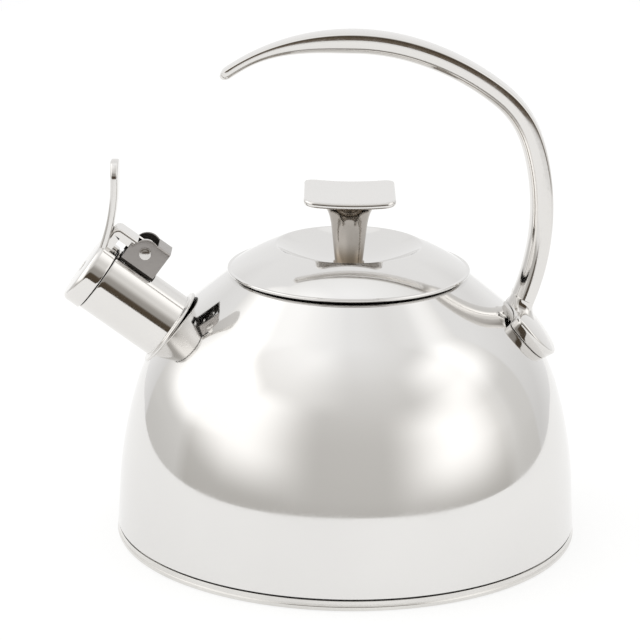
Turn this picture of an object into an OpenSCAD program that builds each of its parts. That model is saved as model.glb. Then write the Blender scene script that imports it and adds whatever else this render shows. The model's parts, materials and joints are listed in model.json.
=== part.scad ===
// Stovetop whistling kettle: a domed stainless body on a sandwich base, a lift-off lid
// with a cast knob, an open C-shaped handle, and a straight spout whose sprung whistle
// cap is tipped open with a thumb lever.
// Millimetres. +Z is up, the spout points along -X, and the origin is the centre of the
// underside of the base.

/* [Body] */
// Outside radius of the base rim
base_r = 100; // [98:0.5:104]
// Height of the base rim
base_h = 5; // [4.5:0.1:5.5]
// Outside radius of the wall at its foot
body_r = 99.7; // [98:0.1:99.8]
// Inward lean of the lower wall, in degrees
wall_lean = 3.3; // [2:0.1:4]
// Thickness of the body and lid sheet
sheet = 0.8; // [0.6:0.1:1]

/* [Lid] */
// Radius of the lid over its rolled hem
lid_r = 52; // [51:0.5:54]
// Thickness of the knob's finger plate
knob_plate_h = 3; // [2:0.5:4]
// Height of the top of the knob above the ground
knob_top = 151.8; // [148:0.2:156]

/* [Spout and whistle] */
// Angle of the spout above the horizontal, in degrees
spout_angle = 36; // [35:0.5:37]
// Outside radius of the spout tube
spout_r = 15; // [14:0.5:15]
// Length of the spout tube outside the body
spout_len = 38; // [36:1:40]
// Diameter of the two whistle holes
whistle_hole = 3.6; // [2:0.2:5]
// Width of the thumb lever
lever_w = 15; // [10:1:16]

/* [Handle] */
// Width of the handle across the kettle
handle_w = 16; // [12:1:20]
// Radial thickness of the handle
handle_t = 10; // [8:0.5:11]

/* [Hidden] */

$fn = 96;
eps = 0.05;
steel = [0.80, 0.79, 0.77];
cast_steel = [0.72, 0.71, 0.69];
aluminium = [0.66, 0.67, 0.68];
spring_steel = [0.35, 0.35, 0.36];

// ---- outline helpers ----

// Points on an arc about (cx, cz) from angle a0 to angle a1
function arc(cx, cz, r, a0, a1, n) =
    [for (i = [0:n]) [cx + r * cos(a0 + (a1 - a0) * i / n), cz + r * sin(a0 + (a1 - a0) * i / n)]];

// A list with its order turned round
function flip(list) = [for (i = [len(list) - 1:-1:0]) list[i]];

// ---- dome: a leaning wall, a soft haunch, a rounder shoulder and a straight cone ----

body_z0 = base_h + 0.4;
wall_z1 = 23;
haunch_r = 183;
haunch_end = 17;
shoulder_r = 75;
shoulder_end = 50.5;
wall_x1 = body_r - (wall_z1 - body_z0) * tan(wall_lean);
haunch_x = wall_x1 - haunch_r * cos(wall_lean);
haunch_z = wall_z1 - haunch_r * sin(wall_lean);
shoulder_x = haunch_x + (haunch_r - shoulder_r) * cos(haunch_end);
shoulder_z = haunch_z + (haunch_r - shoulder_r) * sin(haunch_end);
// Where the cone starts, and where it ends at the roll of the mouth
cone_x = shoulder_x + shoulder_r * cos(shoulder_end);
cone_z = shoulder_z + shoulder_r * sin(shoulder_end);
neck_r = 45;
neck_roll = 2;
neck_bottom = 112.5;
neck_x = neck_r + neck_roll;
neck_z = cone_z + (cone_x - neck_x - neck_roll * cos(shoulder_end)) * tan(90 - shoulder_end)
    - neck_roll * sin(shoulder_end);

// Outline of the dome's outer surface from the foot to the neck, moved outwards by g
function dome_line(g) = concat(
    [[body_r + g, body_z0]],
    arc(haunch_x, haunch_z, haunch_r + g, wall_lean, haunch_end, 8),
    arc(shoulder_x, shoulder_z, shoulder_r + g, haunch_end, shoulder_end, 16));

// Everything under the dome's surface moved outwards by g
module dome_solid(g) {
    rotate_extrude($fn = 128)
        polygon(concat([[0, body_z0]], dome_line(g),
            [[cone_x + g * cos(shoulder_end) - 20, cone_z + g * sin(shoulder_end)
                + 20 * tan(90 - shoulder_end)], [0, cone_z + 20]]));
}

// ---- frames ----

flange_x = -76.15;
flange_z = 89.5;

// Spout frame: +Z out along the spout, +X square to it on the upper side
module on_spout() {
    translate([flange_x, 0, flange_z])
        rotate([0, spout_angle - 90, 0])
            children();
}

foot_angle = 36.4;

// Foot frame: on the dome's surface, +Z outwards and +X down the slope
module on_foot(turn = 0) {
    rotate([0, 0, turn])
        translate([shoulder_x + shoulder_r * cos(foot_angle), 0,
                   shoulder_z + shoulder_r * sin(foot_angle)])
            rotate([0, 90 - foot_angle, 0])
                children();
}

// A plate standing in the X-Z plane, centred on Y
module upright(w) {
    rotate([90, 0, 0])
        translate([0, 0, -w / 2])
            linear_extrude(w)
                children();
}

// A flat ring or disc standing on z
module ring(r_out, r_in, z, h) {
    translate([0, 0, z])
        difference() {
            cylinder(r = r_out, h = h);
            if (r_in > 0)
                translate([0, 0, -1])
                    cylinder(r = r_in, h = h + 2);
        }
}

// ---- base ----

pan_r = 98.2;
pan_floor = base_h + 0.4;
disc_r = 97;
cap_sheet = 0.8;

// Capsule that wraps the heat disc, with a rounded rim
module base_cap() {
    corner = 2.5;
    color(steel)
        rotate_extrude($fn = 128)
            polygon(concat(
                [[0, 0]],
                arc(base_r - corner, corner, corner, -90, 0, 8),
                arc(base_r - 0.6, base_h - 0.6, 0.6, 0, 90, 4),
                [[base_r - 1.6, base_h], [base_r - 1.6, 3.2]],
                arc(base_r - 4.2, cap_sheet + 2.2, 2.2, 0, -90, 6),
                [[0, cap_sheet]]));
}

// Aluminium disc that spreads the heat
module heat_disc() {
    color(aluminium)
        rotate_extrude($fn = 128)
            polygon([[0, cap_sheet], [disc_r - 2.5, cap_sheet], [disc_r, cap_sheet + 2.5],
                     [disc_r, pan_floor], [0, pan_floor]]);
}

// Floor of the kettle, with a flange seamed inside the wall
module bottom_pan() {
    flange_top = 10;
    bend = 2;
    color(steel)
        rotate_extrude($fn = 128)
            polygon(concat(
                [[0, pan_floor]],
                arc(pan_r - bend, pan_floor + bend, bend, -90, 0, 5),
                [[pan_r, flange_top], [pan_r - sheet, flange_top]],
                arc(pan_r - bend, pan_floor + bend, bend - sheet, 0, -90, 5),
                [[0, pan_floor + sheet]]));
}

// ---- body ----

screw_r = 2;
screw_turn = 6.5;

// Drawn dome with its rolled-in mouth, the spout hole and two screw holes
module body_shell() {
    color(steel)
        difference() {
            rotate_extrude($fn = 128)
                polygon(concat(
                    dome_line(0),
                    arc(neck_x, neck_z, neck_roll, shoulder_end, 180, 8),
                    [[neck_r, neck_bottom], [neck_r + sheet, neck_bottom]],
                    arc(neck_x, neck_z, neck_roll - sheet, 180, shoulder_end, 8),
                    flip(dome_line(-sheet))));
            on_spout()
                translate([0, 0, -12])
                    cylinder(r = spout_r + eps, h = 24);
            for (s = [-1, 1])
                on_foot(s * screw_turn)
                    translate([0, 0, -6])
                        cylinder(r = screw_r + 0.2, h = 12);
        }
}

// ---- spout ----

spout_in = 5;
spout_wall = 0.8;

module spout_tube() {
    color(steel)
        on_spout()
            ring(spout_r, spout_r - spout_wall, -spout_in, spout_len + spout_in);
}

// Rounded trim ring where the spout leaves the body
module spout_flange() {
    bead = 0.95;
    lip = 2.9;
    foot = 1.6;
    color(steel)
        on_spout()
            translate([0, 0, foot + bead])
                rotate_extrude()
                    polygon(concat(
                        [[spout_r + eps, -bead]],
                        arc(spout_r + lip - bead, 0, bead, -90, 90, 10),
                        [[spout_r + 1.2, bead], [spout_r + eps, bead + 0.5]]));
}

// ---- whistle cap hinge ----

pin_along = 29.1;
pin_up = 22;
pin_r = 1.4;
cheek_in = 6.2;
cheek_out = 7;
bracket_back = 20;
bracket_front = 36.5;
bracket_top = 28;

// Turns a (along, up) outline of the spout frame into a plate from y0 to y0 + w
module spout_plate(y0, w) {
    on_spout()
        translate([0, y0 + w, 0])
            rotate([90, 0, 0])
                linear_extrude(w)
                    children();
}

// Side outline of a bracket cheek, x up from the spout axis and y along it
module cheek_outline() {
    nose = 5.9;
    nose_tilt = 78;
    difference() {
        polygon(concat(
            [[spout_r - 3, bracket_back], [bracket_top, bracket_back]],
            arc(bracket_top - nose, pin_along, nose, 0, nose_tilt, 8),
            [[spout_r - 3, bracket_front]]));
        translate([pin_up, pin_along])
            circle(r = pin_r + 0.03);
    }
}

// Inverted U of sheet on top of the spout that carries the hinge pin
module hinge_bracket() {
    web_end = 26.5;
    color(steel)
        difference() {
            union() {
                spout_plate(-cheek_out, cheek_out - cheek_in)
                    cheek_outline();
                spout_plate(cheek_in, cheek_out - cheek_in)
                    cheek_outline();
                on_spout()
                    translate([bracket_top - sheet, -cheek_in - eps, bracket_back])
                        cube([sheet, 2 * cheek_in + 2 * eps, web_end - bracket_back]);
            }
            on_spout()
                cylinder(r = spout_r + eps, h = 60);
        }
}

// Centre of the hinge pin, with the pin along Y
module on_pin() {
    on_spout()
        translate([pin_up, 0, pin_along])
            rotate([90, 0, 0])
                children();
}

module hinge_pin() {
    head_r = 2.6;
    color(cast_steel)
        on_pin()
            union() {
                translate([0, 0, -cheek_out])
                    cylinder(r = pin_r, h = 2 * cheek_out);
                rotate_extrude()
                    polygon(concat([[0, cheek_out], [head_r, cheek_out]],
                        arc(head_r - 0.7, cheek_out + 0.2, 0.7, 0, 90, 5), [[0, cheek_out + 1.1]]));
                translate([0, 0, -cheek_out - 0.7])
                    cylinder(r = pin_r + 0.7, h = 0.7);
            }
}

// ---- whistle cap ----

cap_r = 15.75;
cap_wall = 0.6;
cap_start = spout_len + 0.4;
cap_end = 46.9;

// Cup with a rounded rim and a steam hole in its face
module cap_shell() {
    corner = 2.4;
    steam_r = 2.6;
    color(steel)
        on_spout()
            rotate_extrude()
                polygon(concat(
                    [[cap_r - cap_wall, cap_start], [cap_r, cap_start]],
                    arc(cap_r - corner, cap_end - corner - 0.4, corner, 0, 80, 8),
                    [[steam_r, cap_end], [steam_r, cap_end - cap_wall]],
                    arc(cap_r - corner, cap_end - corner - 0.4, corner - cap_wall, 80, 0, 8)));
}

whistle_r = cap_r - cap_wall - eps;
plate_h = 0.5;
plate_1 = cap_start + 0.6;
spacer_h = 3;

module whistle_inner_plate() {
    color(aluminium)
        on_spout()
            ring(whistle_r, whistle_hole / 2, plate_1, plate_h);
}

// Ring that holds the two whistle plates apart
module whistle_spacer() {
    color(steel)
        on_spout()
            ring(whistle_r, whistle_r - 2, plate_1 + plate_h, spacer_h);
}

module whistle_outer_plate() {
    color(aluminium)
        on_spout()
            ring(whistle_r - 0.6, whistle_hole / 2, plate_1 + plate_h + spacer_h, plate_h);
}

// ---- cap arm and thumb lever ----

ear_in = 5;
ear_out = 5.8;
arm_top = 24.3;
arm_bottom = 19.9;
arm_front = 45.8;
leg_back = 41.6;
knuckle_r = 3.6;

// Side outline of the arm: an eye round the pin, a bar and a leg down to the cap
module arm_outline() {
    difference() {
        union() {
            translate([pin_up, pin_along])
                circle(r = knuckle_r);
            polygon([[arm_bottom, pin_along], [arm_top, pin_along], [arm_top, arm_front],
                     [cap_r - 2.5, arm_front], [cap_r - 2.5, leg_back], [arm_bottom, leg_back]]);
        }
        translate([pin_up, pin_along])
            circle(r = pin_r + 0.06);
    }
}

// Channel of sheet that joins the cap to the hinge
module cap_arm() {
    web_start = pin_along + 5.5;
    color(steel)
        difference() {
            union() {
                spout_plate(-ear_out, ear_out - ear_in)
                    arm_outline();
                spout_plate(ear_in, ear_out - ear_in)
                    arm_outline();
                on_spout() {
                    translate([arm_top - sheet, -ear_in - eps, web_start])
                        cube([sheet, 2 * ear_in + 2 * eps, arm_front - web_start]);
                    translate([cap_r - 2.5, -ear_in - eps, arm_front - sheet])
                        cube([arm_top - cap_r + 2.5, 2 * ear_in + 2 * eps, sheet]);
                }
            }
            on_spout()
                cylinder(r = cap_r + eps, h = 60);
        }
}

lever_t = 2.6;
lever_bend = 80;
lever_cx = -182.2;
lever_cz = 155;
lever_top = 164;
lever_low = asin((126.5 - lever_cz) / lever_bend);

// Curved thumb blade with a round top, standing on the cap in front of the arm
module thumb_lever() {
    round_r = lever_w / 2 - 0.5;
    color(cast_steel)
        difference() {
            intersection() {
                upright(lever_w)
                    polygon(concat(
                        arc(lever_cx, lever_cz, lever_bend, lever_low, 0, 10),
                        [[lever_cx + lever_bend, lever_top],
                         [lever_cx + lever_bend + lever_t, lever_top]],
                        arc(lever_cx, lever_cz, lever_bend + lever_t, 0, lever_low, 10)));
                translate([-130, 0, 0])
                    rotate([90, 0, 90])
                        linear_extrude(60)
                            union() {
                                translate([-lever_w / 2, 100])
                                    square([lever_w, lever_top - round_r - 100]);
                                translate([-lever_w / 2 + round_r, 100])
                                    square([lever_w - 2 * round_r, lever_top - 100]);
                                for (s = [-1, 1])
                                    translate([s * (lever_w / 2 - round_r), lever_top - round_r])
                                        circle(r = round_r);
                            }
            }
            on_spout() {
                cylinder(r = cap_r + eps, h = 60);
                translate([arm_bottom - 12, -lever_w, 20])
                    cube([40, 2 * lever_w, arm_front + eps - 20]);
            }
        }
}

// Torsion spring round the pin, drawn as a plain sleeve with its two legs
module return_spring() {
    coil_in = 1.9;
    coil_out = 2.9;
    coil_w = 8;
    wire_r = 0.35;
    leg_r = (coil_in + coil_out) / 2;
    color(spring_steel)
        union() {
            on_pin()
                ring(coil_out, coil_in, -coil_w / 2, coil_w);
            on_spout() {
                translate([pin_up + leg_r, 0.6 - coil_w / 2, pin_along - 7.5])
                    cylinder(r = wire_r, h = 7.5);
                translate([pin_up - leg_r, coil_w / 2 - 0.6, pin_along])
                    cylinder(r = wire_r, h = 9);
            }
        }
}

// ---- handle ----

// Outer edge of the arch: radii, and the angle of the outward normal where each ends
arch_x = 77.8;
arch_z = 99.2;
arch_start = -23.5;
arch_radii = [109, 80, 46, 113, 93.5];
arch_ends = [13, 20, 52, 76, 127];

// Start point of arc i of the arch
function arch_from(i) = i == 0 ? [arch_x, arch_z] :
    let (p = arch_from(i - 1), a0 = i == 1 ? arch_start : arch_ends[i - 2], a1 = arch_ends[i - 1],
         r = arch_radii[i - 1])
    [p[0] + r * (cos(a1) - cos(a0)), p[1] + r * (sin(a1) - sin(a0))];

// Index of the arc that holds normal angle a
function arch_index(a) = len([for (e = arch_ends) if (a > e) 1]);

// Point on the outer edge at normal angle a
function arch_point(a) =
    let (i = min(arch_index(a), 4), p = arch_from(i), a0 = i == 0 ? arch_start : arch_ends[i - 1],
         r = arch_radii[i])
    [p[0] + r * (cos(a) - cos(a0)), p[1] + r * (sin(a) - sin(a0))];

// Smooth step from 0 at lo to 1 at hi
function ease(v, lo, hi) = let (t = min(max((v - lo) / (hi - lo), 0), 1)) t * t * (3 - 2 * t);

tip_angle = 127;
thin_from = 95;
thin_to = 116;
tip_thinning = 5.4;
tip_narrowing = 5;
// Thickness and width of the arch at normal angle a; both close in over the tip
function tip_close(a) = sqrt(max(1 - pow(ease(a, tip_angle - 2.2, tip_angle + 0.02), 2), 0.02));
function arch_full_t(a) = handle_t - tip_thinning * ease(a, thin_from, thin_to);
function arch_t(a) = arch_full_t(a) * tip_close(a);
function arch_w(a) = (handle_w - tip_narrowing * ease(a, 85, tip_angle)) * tip_close(a);

section_n = 14;

// One cross-section of the arch: a soft superellipse hung inside the outer edge
function arch_ring(a) =
    let (p = arch_point(a), t = arch_t(a), w = arch_w(a),
         mid = arch_full_t(a) / 2)
    [for (k = [0:section_n - 1])
        let (q = 360 * k / section_n, c = cos(q), s = sin(q),
             n = sign(c) * pow(abs(c), 0.75) * t / 2 - mid,
             y = sign(s) * pow(abs(s), 0.75) * w / 2)
        [p[0] + n * cos(a), y, p[1] + n * sin(a)]];

arch_steps = concat([for (i = [0:46]) arch_start + (tip_angle - 2.2 - arch_start) * i / 46],
    [for (i = [1:4]) tip_angle - 2.2 + 2.2 * i / 4]);

module handle() {
    rings = [for (a = arch_steps) arch_ring(a)];
    count = len(rings);
    color(cast_steel)
        polyhedron(
            points = [for (r = rings) each r],
            faces = concat(
                [[for (k = [0:section_n - 1]) k]],
                [for (i = [0:count - 2], k = [0:section_n - 1])
                    let (k2 = (k + 1) % section_n)
                    [i * section_n + k, (i + 1) * section_n + k,
                     (i + 1) * section_n + k2, i * section_n + k2]],
                [[for (k = [section_n - 1:-1:0]) (count - 1) * section_n + k]]),
            convexity = 6);
}

foot_len = 23;
foot_w = 32;
foot_h = 5;

// Cast shoe that follows the dome and swells into the socket of the arch
module handle_foot() {
    corner = 5;
    neck_w = handle_w + 2;
    neck_gap = 0.05;
    // Side outline of the neck: where it meets the shoe's top, and the foot of the arch
    foot_back = [shoulder_x + (shoulder_r + 3) * cos(37), shoulder_z + (shoulder_r + 3) * sin(37)];
    foot_front = [shoulder_x + (shoulder_r + 3) * cos(45), shoulder_z + (shoulder_r + 3) * sin(45)];
    neck_inner = [arch_x - handle_t * cos(arch_start) + neck_gap * sin(arch_start),
                  arch_z - handle_t * sin(arch_start) - neck_gap * cos(arch_start)];
    color(cast_steel)
        difference() {
            union() {
                intersection() {
                    dome_solid(foot_h);
                    on_foot()
                        translate([0, 0, -8])
                            linear_extrude(20)
                                union() {
                                    translate([-foot_len / 2, -foot_w / 2])
                                        square([foot_len - corner, foot_w]);
                                    translate([-foot_len / 2, corner - foot_w / 2])
                                        square([foot_len, foot_w - 2 * corner]);
                                    for (s = [-1, 1])
                                        translate([foot_len / 2 - corner, s * (foot_w / 2 - corner)])
                                            circle(r = corner);
                                }
                }
                upright(neck_w)
                    polygon([[64, 88], [80, 88], foot_back, [arch_x + neck_gap * sin(arch_start),
                        arch_z - neck_gap * cos(arch_start)], neck_inner, foot_front]);
            }
            dome_solid(0.1);
            for (s = [-1, 1])
                on_foot(s * screw_turn)
                    translate([0, 0, -2])
                        cylinder(r = screw_r + eps, h = 5.6);
        }
}

screw_seat = -sheet - 0.15;
washer_h = 0.8;

// Two screws from inside the kettle into the shoe
module handle_screws() {
    head_r = 3.6;
    head_h = 2.4;
    color(steel)
        for (s = [-1, 1])
            on_foot(s * screw_turn)
                union() {
                    translate([0, 0, screw_seat - washer_h])
                        cylinder(r = screw_r, h = 4 - screw_seat + washer_h - 0.6);
                    translate([0, 0, screw_seat - washer_h - head_h])
                        cylinder(r = head_r, h = head_h);
                }
}

module handle_washers() {
    color(steel)
        for (s = [-1, 1])
            on_foot(s * screw_turn)
                ring(4.5, screw_r + 0.2, screw_seat - washer_h, washer_h);
}

// ---- lid ----

crown_r = 88;
crown_z = 45.9;
crest_r = 31.5;
crest_roll = 3;
hem_r = 1.2;
hem_z = 117;

// Angle about the crown's centre where a given radius lies
function crown_angle(r) = acos(r / crown_r);

crest_angle = crown_angle(crest_r + 0.5);
crest_x = (crown_r - crest_roll) * cos(crest_angle);
crest_z = crown_z + (crown_r - crest_roll) * sin(crest_angle);
// The dish is a bowl that leaves the crest roll at dish_angle
dish_angle = 122;
dish_edge_x = crest_x + crest_roll * cos(dish_angle);
dish_edge_z = crest_z + crest_roll * sin(dish_angle);
dish_r = dish_edge_x / sin(dish_angle - 90);
dish_cz = dish_edge_z + dish_r * cos(dish_angle - 90);

// Domed lid with a rolled hem and a dished centre
module lid_shell() {
    a0 = crown_angle(lid_r - hem_r);
    n_dome = 10;
    color(steel)
        difference() {
            rotate_extrude($fn = 128)
                polygon(concat(
                    arc(lid_r - hem_r, hem_z, hem_r, -150, 60, 10),
                    arc(0, crown_z, crown_r, a0 + 0.3, crest_angle, n_dome),
                    arc(crest_x, crest_z, crest_roll, crest_angle, dish_angle, 6),
                    arc(0, dish_cz, dish_r, dish_angle - 180, -90, 8),
                    arc(0, dish_cz, dish_r + sheet, -90, dish_angle - 180, 8),
                    arc(crest_x, crest_z, crest_roll - sheet, dish_angle, crest_angle, 6),
                    arc(0, crown_z, crown_r - sheet, crest_angle, a0 + 0.6, n_dome)));
            translate([0, 0, 100])
                cylinder(r = screw_r + 0.2, h = 40);
        }
}

// Ring under the lid that centres it in the mouth
module lid_skirt() {
    skirt_r = 43.6;
    flange_r = 41;
    skirt_low = 106;
    top_out = crown_z + (crown_r - sheet) * sin(acos(skirt_r / (crown_r - sheet))) - 0.15;
    top_in = crown_z + (crown_r - sheet) * sin(acos(flange_r / (crown_r - sheet))) - 0.15;
    color(steel)
        rotate_extrude($fn = 128)
            polygon([[skirt_r - sheet, skirt_low], [skirt_r, skirt_low], [skirt_r, top_out],
                     [flange_r, top_in], [flange_r, top_in - sheet],
                     [skirt_r - sheet, top_out - sheet]]);
}

dish_top = dish_cz - dish_r;
knob_foot = dish_top + 0.55;

// Cast knob: a tapered neck under a dished finger plate
module lid_knob() {
    plate_x = 39;
    plate_y = 42;
    corner = 5;
    dish = 160;
    under = knob_top - knob_plate_h;
    color(cast_steel)
        difference() {
            union() {
                rotate_extrude()
                    polygon(concat(
                        [[0, knob_foot], [6.6, knob_foot], [6.1, knob_foot + 1.2],
                         [8.5, under - 4]],
                        arc(12.5, under - 4, 4, 180, 115, 4),
                        [[11, under + 0.5], [0, under + 0.5]]));
                translate([0, 0, under])
                    linear_extrude(knob_plate_h)
                        union() {
                            square([plate_x - 2 * corner, plate_y], center = true);
                            square([plate_x, plate_y - 2 * corner], center = true);
                            for (sx = [-1, 1], sy = [-1, 1])
                                translate([sx * (plate_x / 2 - corner), sy * (plate_y / 2 - corner)])
                                    circle(r = corner);
                        }
            }
            translate([0, 0, knob_top + dish - 1.2])
                rotate([90, 0, 0])
                    cylinder(r = dish, h = 60, center = true, $fn = 256);
            translate([0, 0, knob_foot - 1])
                cylinder(r = screw_r + eps, h = 15);
        }
}

knob_seat = dish_top - sheet - 0.05;

module knob_screw() {
    color(steel)
        union() {
            translate([0, 0, knob_seat - washer_h])
                cylinder(r = screw_r, h = 12);
            translate([0, 0, knob_seat - washer_h - 2.4])
                cylinder(r = 3.6, h = 2.4);
        }
}

module knob_washer() {
    color(steel)
        ring(5.5, screw_r + 0.2, knob_seat - washer_h, washer_h);
}

body_shell();
bottom_pan();
heat_disc();
base_cap();
spout_tube();
spout_flange();
hinge_bracket();
hinge_pin();
handle();
handle_foot();
handle_screws();
handle_washers();
lid_shell();
lid_skirt();
lid_knob();
knob_screw();
knob_washer();
cap_shell();
whistle_inner_plate();
whistle_spacer();
whistle_outer_plate();
cap_arm();
thumb_lever();
return_spring();
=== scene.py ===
"""Looks of a stovetop whistling kettle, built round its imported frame.

Shapes are worked out in millimetres on the frame's own axes and become metres when their
meshes are made. +Z is up, the spout points along -X and the handle rises from the +X side.
"""

import json
import math

import bpy
import numpy as np
from mathutils import Matrix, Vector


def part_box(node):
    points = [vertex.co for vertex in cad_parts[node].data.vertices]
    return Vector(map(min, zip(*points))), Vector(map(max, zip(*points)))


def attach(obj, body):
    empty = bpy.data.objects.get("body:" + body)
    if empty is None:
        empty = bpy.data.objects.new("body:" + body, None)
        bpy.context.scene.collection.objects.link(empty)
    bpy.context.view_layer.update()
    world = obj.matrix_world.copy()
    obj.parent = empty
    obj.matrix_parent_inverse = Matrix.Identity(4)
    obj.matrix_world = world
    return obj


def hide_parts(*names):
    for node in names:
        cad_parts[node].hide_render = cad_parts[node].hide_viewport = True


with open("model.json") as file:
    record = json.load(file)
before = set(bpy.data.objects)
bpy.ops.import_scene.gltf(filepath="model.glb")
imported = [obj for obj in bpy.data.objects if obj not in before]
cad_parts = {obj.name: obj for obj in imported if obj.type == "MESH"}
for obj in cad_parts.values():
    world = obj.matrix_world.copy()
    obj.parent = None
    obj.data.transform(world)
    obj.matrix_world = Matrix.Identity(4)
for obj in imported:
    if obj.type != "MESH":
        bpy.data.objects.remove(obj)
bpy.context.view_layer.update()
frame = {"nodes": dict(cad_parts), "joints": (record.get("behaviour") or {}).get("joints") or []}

MM = 0.001
TURNS = 360
Y_AXIS = np.array([0.0, 1.0, 0.0])

rad = math.radians


def corners(node):
    """Lowest and highest corner of a CAD node, in millimetres."""
    return [np.array(corner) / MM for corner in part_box(node)]


# ---- outlines: lists of (r, z) or (across, along) points ----


def arc(cx, cz, r, start, end, steps):
    """Points on the circle of radius r about (cx, cz), evenly from angle start to end in degrees."""
    a = np.radians(np.linspace(start, end, steps + 1))
    return np.stack([cx + r * np.cos(a), cz + r * np.sin(a)], -1)


def run(start, end, steps):
    """Points spaced evenly along the straight line from start to end."""
    return np.linspace(start, end, steps + 1)


def outline(*parts):
    """The parts joined end to end, with points that repeat the one before left out."""
    points = np.concatenate([np.atleast_2d(np.asarray(part, float)) for part in parts])
    step = np.linalg.norm(np.diff(points, axis=0), axis=1)
    return points[np.concatenate([[True], step > 1e-4])]


def ease(value, low, high):
    """Smooth step from 0 at low to 1 at high."""
    t = np.clip((value - low) / (high - low), 0, 1)
    return t * t * (3 - 2 * t)


# ---- surfaces: grids of points, rows x columns x 3 ----


def revolve(points, turns=TURNS):
    """An (r, z) outline carried round Z: x = r cos a, y = r sin a, one row a point."""
    a = np.arange(turns) * 2 * np.pi / turns
    r, z = points[:, :1], points[:, 1:]
    return np.stack([r * np.cos(a), r * np.sin(a), z + 0 * a], -1)


def superellipse(columns, power):
    """Unit curve |x|^p + |y|^p = 1 as (x, y) = (sgn c |c|^(2/p), sgn s |s|^(2/p))."""
    q = np.arange(columns) * 2 * np.pi / columns
    c, s = np.cos(q), np.sin(q)
    return np.stack([np.sign(c) * np.abs(c) ** (2 / power), np.sign(s) * np.abs(s) ** (2 / power)], -1)


def close_ends(grid, spine):
    """The grid between two rows that stand at the first and the last point of its spine."""
    poles = [np.broadcast_to(spine[row], (1,) + grid.shape[1:]) for row in (0, -1)]
    return np.concatenate([poles[0], grid, poles[1]])


def sweep(centre, across, half_across, half_wide, section):
    """A section carried along a path in the X-Z plane and closed at its ends: P = centre + u a
    across + v b Y.

    centre and across are rows x 2 in (x, z), half_across and half_wide give a and b on each
    row, and section holds (u, v).
    """
    u = section[:, 0] * half_across[:, None]
    v = section[:, 1] * half_wide[:, None]
    x = centre[:, :1] + u * across[:, :1]
    z = centre[:, 1:] + u * across[:, 1:]
    spine = np.stack([centre[:, 0], 0 * centre[:, 0], centre[:, 1]], -1)
    return close_ends(np.stack([x, v, z], -1), spine)


def cells(table):
    """The four corners of every cell of a table of vertex numbers."""
    return np.stack([table[:-1, :-1], table[1:, :-1], table[1:, 1:], table[:-1, 1:]], -1)


def vertex_table(points, wrap_rows, wrap_columns):
    """Vertex numbers of a grid; an end row that has shrunk to a point is one vertex."""
    table = np.arange(points.shape[0] * points.shape[1]).reshape(points.shape[:2])
    for row in (0, -1):
        if not wrap_rows and np.ptp(points[row], axis=0).max() < 1e-6:
            table[row] = table[row, 0]
    if wrap_rows:
        table = np.concatenate([table, table[:1]])
    if wrap_columns:
        table = np.concatenate([table, table[:, :1]], 1)
    return table


def closed_skin(points, wrap_rows=False):
    """Vertices and faces of a grid that closes round its columns, with poles or a wrap at its ends."""
    return points.reshape(-1, 3), cells(vertex_table(points, wrap_rows, True)).reshape(-1, 4)


def thick_sheet(outer, inner, keep, wrap_columns):
    """Closes two matching grids into a sheet.

    The kept cells of the outer grid, the same cells of the inner one turned over, and a strip
    of faces along every edge that only one kept cell uses.
    """
    face = cells(vertex_table(outer, False, wrap_columns))[keep]
    count = outer.shape[0] * outer.shape[1]
    edge = np.stack([face, np.roll(face, -1, axis=1)], -1).reshape(-1, 2)
    forward = edge[:, 0] * count + edge[:, 1]
    backward = edge[:, 1] * count + edge[:, 0]
    rim = edge[~np.isin(backward, forward)]
    strip = np.stack([rim[:, 1], rim[:, 0], rim[:, 0] + count, rim[:, 1] + count], -1)
    vertices = np.concatenate([outer.reshape(-1, 3), inner.reshape(-1, 3)])
    return vertices, np.concatenate([face, face[:, ::-1] + count, strip])


def tube(path, radius, sides):
    """A round wire along a path: circles square to it, each turned as little as possible from the
    last, with a point at each end that closes it."""
    tangent = np.gradient(path, axis=0)
    tangent /= np.linalg.norm(tangent, axis=1)[:, None]
    side = np.cross(tangent, [0.0, 1.0, 0.0])
    side /= np.linalg.norm(side, axis=1)[:, None]
    up = np.cross(side, tangent)
    a = np.arange(sides) * 2 * np.pi / sides
    ring = np.cos(a)[None, :, None] * side[:, None] + np.sin(a)[None, :, None] * up[:, None]
    return close_ends(path[:, None] + radius * ring, path)


def polygons(faces):
    """Lists of corners; a cell at a pole has two corners in one place and becomes a triangle."""
    pairs = {(0, 3): (0, 1, 2), (1, 2): (0, 1, 3), (0, 1): (0, 2, 3), (2, 3): (0, 1, 2)}
    pinched = np.stack([faces[:, p] == faces[:, q] for p, q in pairs], -1)
    corners_of = faces[~pinched.any(1)].tolist()
    for column, kept in enumerate(pairs.values()):
        once = pinched[:, column] & (pinched.sum(1) == 1)
        corners_of += faces[once][:, kept].tolist()
    return corners_of


def new_object(name, vertices, faces, material):
    """An object at the origin with a mesh of these vertices, given in millimetres."""
    mesh = bpy.data.meshes.new(name)
    mesh.from_pydata((vertices * MM).tolist(), [], polygons(faces))
    mesh.materials.append(material)
    made = bpy.data.objects.new(name, mesh)
    bpy.context.scene.collection.objects.link(made)
    return made


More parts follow.
